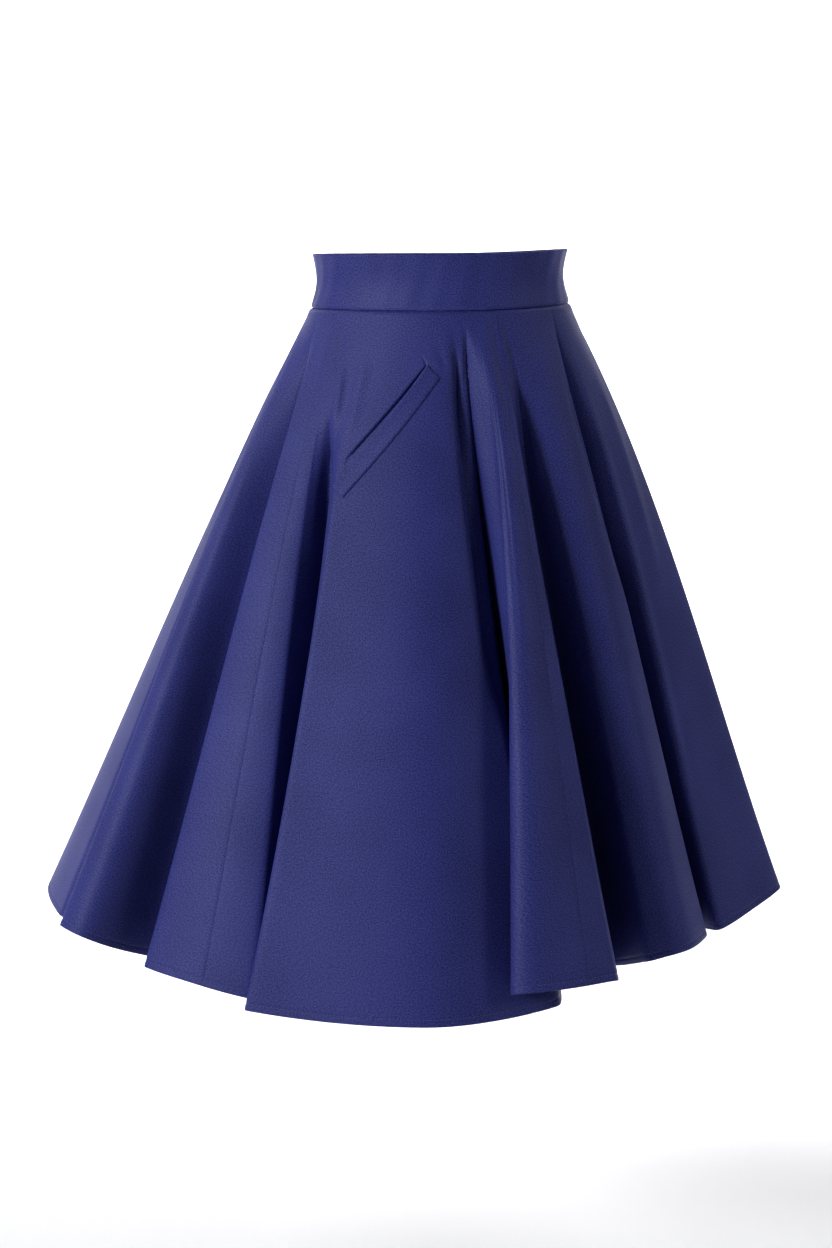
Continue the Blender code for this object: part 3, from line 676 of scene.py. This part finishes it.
def band(name, first, last, cloth, wrong_side):
    """One piece of the doubled waistband, with a rolled top edge and soft drag lines."""
    count = round((last - first) / BAND_STEP)
    bearings = np.linspace(first, last, count + 1)
    bearings = np.unique(np.concatenate([bearings, first + BAND_END_COLUMNS, last - BAND_END_COLUMNS]))
    edge = BAND_EDGE_ROWS / BAND_HEIGHT
    downs = np.unique(np.concatenate([np.linspace(0.0, 1.0, BAND_ROW_COUNT), edge, 1.0 - edge]))
    middle, normal, along = band_grid(bearings, downs)
    bearing, down = np.meshgrid(bearings, downs)
    normal[-1] = unit(normal[-1] * (1.0, 1.0, 0.0))
    below_top = down * BAND_HEIGHT
    above_seam = (1.0 - down) * BAND_HEIGHT
    from_end = np.minimum(bearing - first, last - bearing) * math.radians(BAND_RADIUS)
    out = -BAND_SEAM_DIP * bell(above_seam, BAND_DIP_WIDTH) - BAND_END_DIP * bell(from_end, BAND_DIP_WIDTH)
    # Drag lines as waves along the band, of uneven length, the wider ones strongest at half its height
    drag = np.sin(bearing * 0.21 + 1.3 * np.sin(bearing * 0.05)) * np.sin(math.pi * down)
    out += BAND_DRAG * drag + BAND_RIPPLE * np.sin(bearing * 0.55 + 4.0 * down)
    middle[:, 0] += along[:, 0] * SEAM_GAP / 2
    middle[:, -1] -= along[:, -1] * SEAM_GAP / 2
    reached = np.clip(below_top / BAND_ROLL, 0.0, 1.0)
    roll = np.sqrt(np.clip(1.0 - (1.0 - reached) ** 2, 0.02, 1.0))
    outer = middle + normal * (out + BAND_WALL / 2 * roll)[..., None]
    inner = middle + normal * (out - BAND_WALL / 2 * roll)[..., None]
    flat = flat_pattern(middle)
    return shell(name + "_cloth", outer, inner, flat, (cloth, wrong_side)), cut_of(flat)


def tape(skirt, ribbon):
    """The zip's tape, behind the centre back seam from the band's top to the end of the opening. Also the
    line where its coil lies, and the directions that the coil faces."""
    bearing = SEAM_ROWS[3][1]
    share = skirt.seams[3]
    offsets = np.linspace(-TAPE_WIDTH / 2, TAPE_WIDTH / 2, TAPE_COLUMNS)
    reach = np.linalg.norm(on_waist(bearing + 0.5) - on_waist(bearing - 0.5))
    on_band = np.linspace(*TAPE_ON_BAND, TAPE_BAND_ROWS)
    middle, normal, _ = band_grid(bearing + offsets / reach, on_band)
    middle = middle - normal * (BAND_WALL / 2 + TAPE_GAP)
    places, facing = [], []
    for down in np.linspace(*TAPE_ON_GORES, TAPE_GORE_ROWS):
        _, _, width = skirt.with_normals(np.array([share]), np.array([down]))
        point, outward, _ = skirt.with_normals(share + offsets / width, np.full(len(offsets), down))
        places.append(point - outward * (TAPE_BEHIND + TAPE_GAP))
        facing.append(outward)
    middle = np.concatenate([middle, np.array(places)])
    normal = np.concatenate([normal, np.array(facing)])
    flat = flat_pattern(middle)
    made = shell("zip_tape_cloth", middle, middle - normal * TAPE_WALL, flat, (ribbon, ribbon))
    centre = len(offsets) // 2
    return made, cut_of(flat), middle[:, centre] - normal[:, centre] * COIL_IN, -normal[:, centre]


# Repeated small parts along a path, with Geometry Nodes


def small_part(name, sides, rings):
    """A closed pill of unit size, a few dozen faces, lying along X."""
    points = [(0.5, 0.0, 0.0)]
    for tilt in math.pi * np.arange(1, rings) / rings:
        middle, radius = 0.5 * math.cos(tilt), 0.5 * math.sin(tilt)
        for turn in 2 * math.pi * np.arange(sides) / sides:
            points.append((middle, radius * math.cos(turn), radius * math.sin(turn)))
    points.append((-0.5, 0.0, 0.0))
    faces = []
    for k in range(sides):
        a, b = 1 + k, 1 + (k + 1) % sides
        faces.append((0, a, b))
        for _ in range(rings - 2):
            faces.append((a, a + sides, b + sides, b))
            a, b = a + sides, b + sides
        faces.append((a, len(points) - 1, b))
    data = bpy.data.meshes.new(name)
    data.from_pydata(points, [], faces)
    data.shade_smooth()
    return in_scene(name, data)


def add(tree, kind, settings=None, inputs=None):
    """Adds a node with its settings, and its inputs as values or as sockets to link from."""
    made = tree.nodes.new(kind)
    for key, value in (settings or {}).items():
        setattr(made, key, value)
    for key, value in (inputs or {}).items():
        if isinstance(value, bpy.types.NodeSocket):
            tree.links.new(value, made.inputs[key])
        else:
            made.inputs[key].default_value = value
    return made


def row_tree(part, finish):
    """A tree that sets copies of a small part along a path at an even pitch, standing as the path faces."""
    tree = bpy.data.node_groups.new("Row along a path", "GeometryNodeTree")
    tree.interface.new_socket("Path", in_out="INPUT", socket_type="NodeSocketGeometry")
    sizes = {"Pitch": STITCH_PITCH, "Length": STITCH_LENGTH, "Width": THREAD, "Height": THREAD}
    for name, value in sizes.items():
        socket = tree.interface.new_socket(name, in_out="INPUT", socket_type="NodeSocketFloat")
        socket.default_value = value
    tree.interface.new_socket("Row", in_out="OUTPUT", socket_type="NodeSocketGeometry")
    given = add(tree, "NodeGroupInput").outputs
    curve = add(tree, "GeometryNodeMeshToCurve", None, {"Mesh": given["Path"]})
    even = add(tree, "GeometryNodeResampleCurve", {"mode": "LENGTH"}, {"Curve": curve.outputs[0]})
    tree.links.new(given["Pitch"], even.inputs["Length"])
    facing = add(tree, "GeometryNodeInputNamedAttribute", {"data_type": "FLOAT_VECTOR"}, {"Name": "facing"})
    along = add(tree, "GeometryNodeInputTangent")
    turn = add(tree, "FunctionNodeAxesToRotation", {"primary_axis": "X", "secondary_axis": "Z"})
    tree.links.new(along.outputs[0], turn.inputs[0])
    tree.links.new(facing.outputs[0], turn.inputs[1])
    size = add(tree, "ShaderNodeCombineXYZ", None, {
        "X": given["Length"], "Y": given["Width"], "Z": given["Height"]})
    item = add(tree, "GeometryNodeObjectInfo", None, {"Object": part})
    placed = add(tree, "GeometryNodeInstanceOnPoints", None, {
        "Points": even.outputs[0], "Instance": item.outputs["Geometry"],
        "Rotation": turn.outputs[0], "Scale": size.outputs[0]})
    real = add(tree, "GeometryNodeRealizeInstances", None, {0: placed.outputs[0]})
    coloured = add(tree, "GeometryNodeSetMaterial", None, {0: real.outputs[0], "Material": finish})
    result = add(tree, "NodeGroupOutput")
    tree.links.new(coloured.outputs[0], result.inputs[0])
    return tree


def row_of_parts(name, paths, tree, sizes):
    """Runs the tree along open paths of points and facings, and returns one plain mesh piece."""
    points, edges, facings = [], [], []
    for path, facing in paths:
        start = len(points)
        points += [tuple(point) for point in path]
        facings += [tuple(way) for way in facing]
        edges += [(start + i, start + i + 1) for i in range(len(path) - 1)]
    data = bpy.data.meshes.new(name + " path")
    data.from_pydata(points, edges, [])
    held = data.attributes.new("facing", "FLOAT_VECTOR", "POINT")
    held.data.foreach_set("vector", np.array(facings, dtype=np.float32).reshape(-1))
    guide = in_scene(name + " path", data)
    change = guide.modifiers.new("Row", "NODES")
    change.node_group = tree
    for item in tree.interface.items_tree:
        if item.item_type == "SOCKET" and item.in_out == "INPUT" and item.name in sizes:
            change[item.identifier] = sizes[item.name]
    graph = bpy.context.evaluated_depsgraph_get()
    result = bpy.data.meshes.new_from_object(guide.evaluated_get(graph), depsgraph=graph)
    result.name = name
    bpy.data.objects.remove(guide, do_unlink=True)
    return in_scene(name, result)


# Materials


def linear(code):
    """An sRGB hex colour as linear values."""
    parts = [int(code[i:i + 2], 16) / 255.0 for i in (1, 3, 5)]
    return (*[c / 12.92 if c <= 0.04045 else ((c + 0.055) / 1.055) ** 2.4 for c in parts], 1.0)


def blend(tree, share, first, second):
    """A colour between two, by a share that is 0 for the first and 1 for the second."""
    made = add(tree, "ShaderNodeMix", {"data_type": "RGBA"}, {0: share})
    made.inputs[6].default_value = first
    made.inputs[7].default_value = second
    return made.outputs[2]


def ranged(tree, value, given, wanted):
    """A value moved from one range, given as its ends, to another, and held inside it."""
    made = add(tree, "ShaderNodeMapRange", None, {
        "Value": value, "From Min": given[0], "From Max": given[1], "To Min": wanted[0], "To Max": wanted[1]})
    return made.outputs[0]


def noise(tree, place, scale, detail, roughness=0.5):
    """Soft random spots, as a value about 0.5."""
    made = add(tree, "ShaderNodeTexNoise", None, {
        "Vector": place, "Scale": scale, "Detail": detail, "Roughness": roughness})
    return made.outputs["Fac"]


def new_material(name):
    """An empty material with its shader, ready for nodes."""
    made = bpy.data.materials.new(name)
    made.use_nodes = True
    return made, made.node_tree, made.node_tree.nodes["Principled BSDF"]


def woven(name, dark, light, roughness, sheen, twill_mm, fleck_mm, bump):
    """Woven cloth on its flat pattern in metres: slanted ribs, flecks of yarn, and slow shade changes."""
    made, tree, shader = new_material(name)
    flat = add(tree, "ShaderNodeUVMap", {"uv_map": "flat"}).outputs[0]
    slanted = add(tree, "ShaderNodeMapping", {"vector_type": "TEXTURE"}, {
        "Vector": flat, "Rotation": (0.0, 0.0, math.radians(63.0)), "Scale": (twill_mm / 1000.0,) * 3})
    ribs = add(tree, "ShaderNodeTexWave", {
        "wave_type": "BANDS", "bands_direction": "X", "wave_profile": "SIN"}, {
        "Vector": slanted.outputs[0], "Scale": 1.0 / math.pi, "Distortion": 0.6, "Detail": 1.0,
        "Detail Scale": 2.0}).outputs["Fac"]
    flecks = noise(tree, flat, 1000.0 / fleck_mm, 2.0, 0.7)
    slow = noise(tree, flat, 9.0, 3.0)
    fleck = ranged(tree, flecks, (0.36, 0.64), (0.0, 1.0))
    drift = ranged(tree, slow, (0.35, 0.65), (-0.10, 0.10))
    rib = ranged(tree, ribs, (0.0, 1.0), (-0.06, 0.06))
    share = add(tree, "ShaderNodeMath", {"operation": "ADD"}, {0: fleck, 1: drift}).outputs[0]
    share = add(tree, "ShaderNodeMath", {"operation": "ADD", "use_clamp": True}, {0: share, 1: rib})
    share = share.outputs[0]
    colour = blend(tree, share, linear(dark), linear(light))
    tree.links.new(colour, shader.inputs["Base Color"])
    rough = ranged(tree, share, (0.0, 1.0), (roughness + 0.06, roughness - 0.06))
    tree.links.new(rough, shader.inputs["Roughness"])
    height = add(tree, "ShaderNodeMath", {"operation": "MULTIPLY_ADD"}, {0: ribs, 1: 0.3, 2: flecks})
    raised = add(tree, "ShaderNodeBump", None, {
        "Height": height.outputs[0], "Strength": bump, "Distance": 0.0003})
    tree.links.new(raised.outputs[0], shader.inputs["Normal"])
    shader.inputs["Sheen Weight"].default_value = sheen
    shader.inputs["Sheen Roughness"].default_value = 0.45
    shader.inputs["Sheen Tint"].default_value = linear("#5A60A8")
    shader.inputs["Specular IOR Level"].default_value = 0.24
    return made


def thread_material():
    """Spun polyester sewing thread: a twisted yarn with a soft gleam, a little lighter than the cloth."""
    made, tree, shader = new_material("Spun polyester thread")
    place = add(tree, "ShaderNodeTexCoord").outputs["Object"]
    colour = blend(tree, noise(tree, place, 2200.0, 1.0), linear("#2A2C5E"), linear("#4A4C86"))
    tree.links.new(colour, shader.inputs["Base Color"])
    shader.inputs["Roughness"].default_value = 0.5
    shader.inputs["Sheen Weight"].default_value = 0.2
    return made


def enamel_material():
    """Zinc slider dipped in navy enamel: smooth and glossy, with worn spots where the metal shows through."""
    made, tree, shader = new_material("Navy enamel on zinc")
    place = add(tree, "ShaderNodeTexCoord").outputs["Object"]
    worn = noise(tree, place, 900.0, 4.0, 0.6)
    spots = ranged(tree, worn, (0.62, 0.68), (0.0, 0.7))
    tree.links.new(blend(tree, spots, linear("#1E2148"), linear("#8A8C96")), shader.inputs["Base Color"])
    tree.links.new(spots, shader.inputs["Metallic"])
    tree.links.new(ranged(tree, worn, (0.0, 1.0), (0.24, 0.42)), shader.inputs["Roughness"])
    shader.inputs["Coat Weight"].default_value = 0.5
    shader.inputs["Coat Roughness"].default_value = 0.12
    return made


def coil_material():
    """Nylon coil of the zip: dyed plastic with a waxy gleam."""
    made, tree, shader = new_material("Dyed nylon coil")
    place = add(tree, "ShaderNodeTexCoord").outputs["Object"]
    colour = blend(tree, noise(tree, place, 1500.0, 2.0), linear("#1B1D42"), linear("#2C2F5E"))
    tree.links.new(colour, shader.inputs["Base Color"])
    shader.inputs["Roughness"].default_value = 0.35
    return made


def plain_stage(name, code):
    """Painted studio surface, matt and even, with a slight mottle."""
    made, tree, shader = new_material(name)
    place = add(tree, "ShaderNodeTexCoord").outputs["Object"]
    tint = ranged(tree, noise(tree, place, 3.0, 2.0), (0.0, 1.0), (0.985, 1.0))
    tree.links.new(blend(tree, tint, linear("#000000"), linear(code)), shader.inputs["Base Color"])
    shader.inputs["Roughness"].default_value = 0.9
    return made


# Putting it together


def dress(skirt):
    """Makes every piece, hides the solid that each replaces and hangs it on the skirt's body, which it rides
    on.
    """
    cloth = woven("Cotton sateen twill", "#12174F", "#363C86", 0.62, 0.02, 1.9, 1.35, 0.22)
    wrong = woven("Cotton sateen twill, wrong side", "#1C1F50", "#2F3470", 0.78, 0.08, 1.9, 1.7, 0.45)
    lining = woven("Cotton pocketing", "#1A1C44", "#2C2F60", 0.85, 0.10, 1.4, 1.6, 0.30)
    ribbon = woven("Woven zip tape", "#181A40", "#2A2C58", 0.75, 0.10, 1.2, 1.2, 0.50)
    thread = thread_material()
    hem_paths = []
    for number, name in enumerate(GORES):
        made, (width, length, area), line, facing = gore(skirt, number, cloth, wrong)
        declare(made, name)
        hem_paths.append((line + facing * THREAD * 0.25, facing))
    side, centre, right = [SEAM_ROWS[k][1] for k in (2, 3, 4)]
    for name, first, last in (
        ("waistband_front", right - 360.0, side),
        ("waistband_back_left", side, centre),
        ("waistband_back_right", centre, right),
    ):
        made, (width, length, area) = band(name, first, last, cloth, wrong)
        declare(made, name)
    made, (width, length, area) = welt(skirt, cloth)
    declare(made, "pocket_welt")
    made, (width, length, area) = bag(skirt, lining)
    declare(made, "pocket_bag")
    made, (width, length, area), line, facing = tape(skirt, ribbon)
    declare(made, "zip_tape")

    pill = small_part("pill", 6, 4)
    stitches = row_of_parts("hem_stitches", hem_paths, row_tree(pill, thread), {})
    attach(stitches, "skirt")
    teeth = row_of_parts("zip_teeth", [(line, facing)], row_tree(pill, coil_material()), TEETH)
    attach(teeth, "skirt")
    bpy.data.objects.remove(pill, do_unlink=True)
    enamel = enamel_material()
    for name in ("zip_slider", "zip_pull_tab"):
        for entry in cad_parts[name].material_slots:
            entry.material = enamel


def declare(made, node):
    """Hides the solid that a cloth piece replaces, and hangs the piece on the skirt's body, which it rides
    on.
    """
    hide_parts(node)
    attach(made, "skirt")


def stage():
    """A pale floor that sweeps up behind, soft lights and the camera."""
    profile = [(FLOOR_START, 0.0)]
    for angle in np.linspace(0.0, math.pi / 2, 13):
        profile.append((WALL_AT - SWEEP + SWEEP * math.sin(angle), SWEEP - SWEEP * math.cos(angle)))
    profile.append((WALL_AT, WALL_HEIGHT))
    points = [(x, y, FLOOR_Z + z) for y, z in profile for x in (-FLOOR_ACROSS, FLOOR_ACROSS)]
    faces = [(2 * i, 2 * i + 1, 2 * i + 3, 2 * i + 2) for i in range(len(profile) - 1)]
    mesh = bpy.data.meshes.new("floor")
    mesh.from_pydata(points, [], faces)
    mesh.shade_smooth()
    mesh.materials.append(plain_stage("Matt white paint", "#F7F7F8"))
    in_scene("floor", mesh)

    for name, place, size, power, target, spread in LAMP_ROWS:
        data = bpy.data.lights.new(name, "AREA")
        data.shape = "DISK"
        data.size = size
        data.energy = power
        data.spread = math.radians(spread)
        lamp = in_scene(name, data)
        lamp.location = place
        lamp.rotation_euler = (Vector(target) - Vector(place)).to_track_quat("-Z", "Y").to_euler()

    world = bpy.data.worlds.new("Studio")
    world.use_nodes = True
    background = world.node_tree.nodes["Background"]
    background.inputs["Color"].default_value = linear("#FFFFFF")
    background.inputs["Strength"].default_value = ROOM_LIGHT
    bpy.context.scene.world = world

    data = bpy.data.cameras.new("camera")
    data.lens = CAMERA_LENS
    data.sensor_width = 36.0
    eye = in_scene("camera", data)
    eye.location = CAMERA_AT
    eye.rotation_euler = (math.pi / 2 - CAMERA_TILT, 0.0, 0.0)
    bpy.context.scene.camera = eye
    bpy.context.scene.view_settings.view_transform = "Standard"


skirt = Skirt()
dress(skirt)
stage()
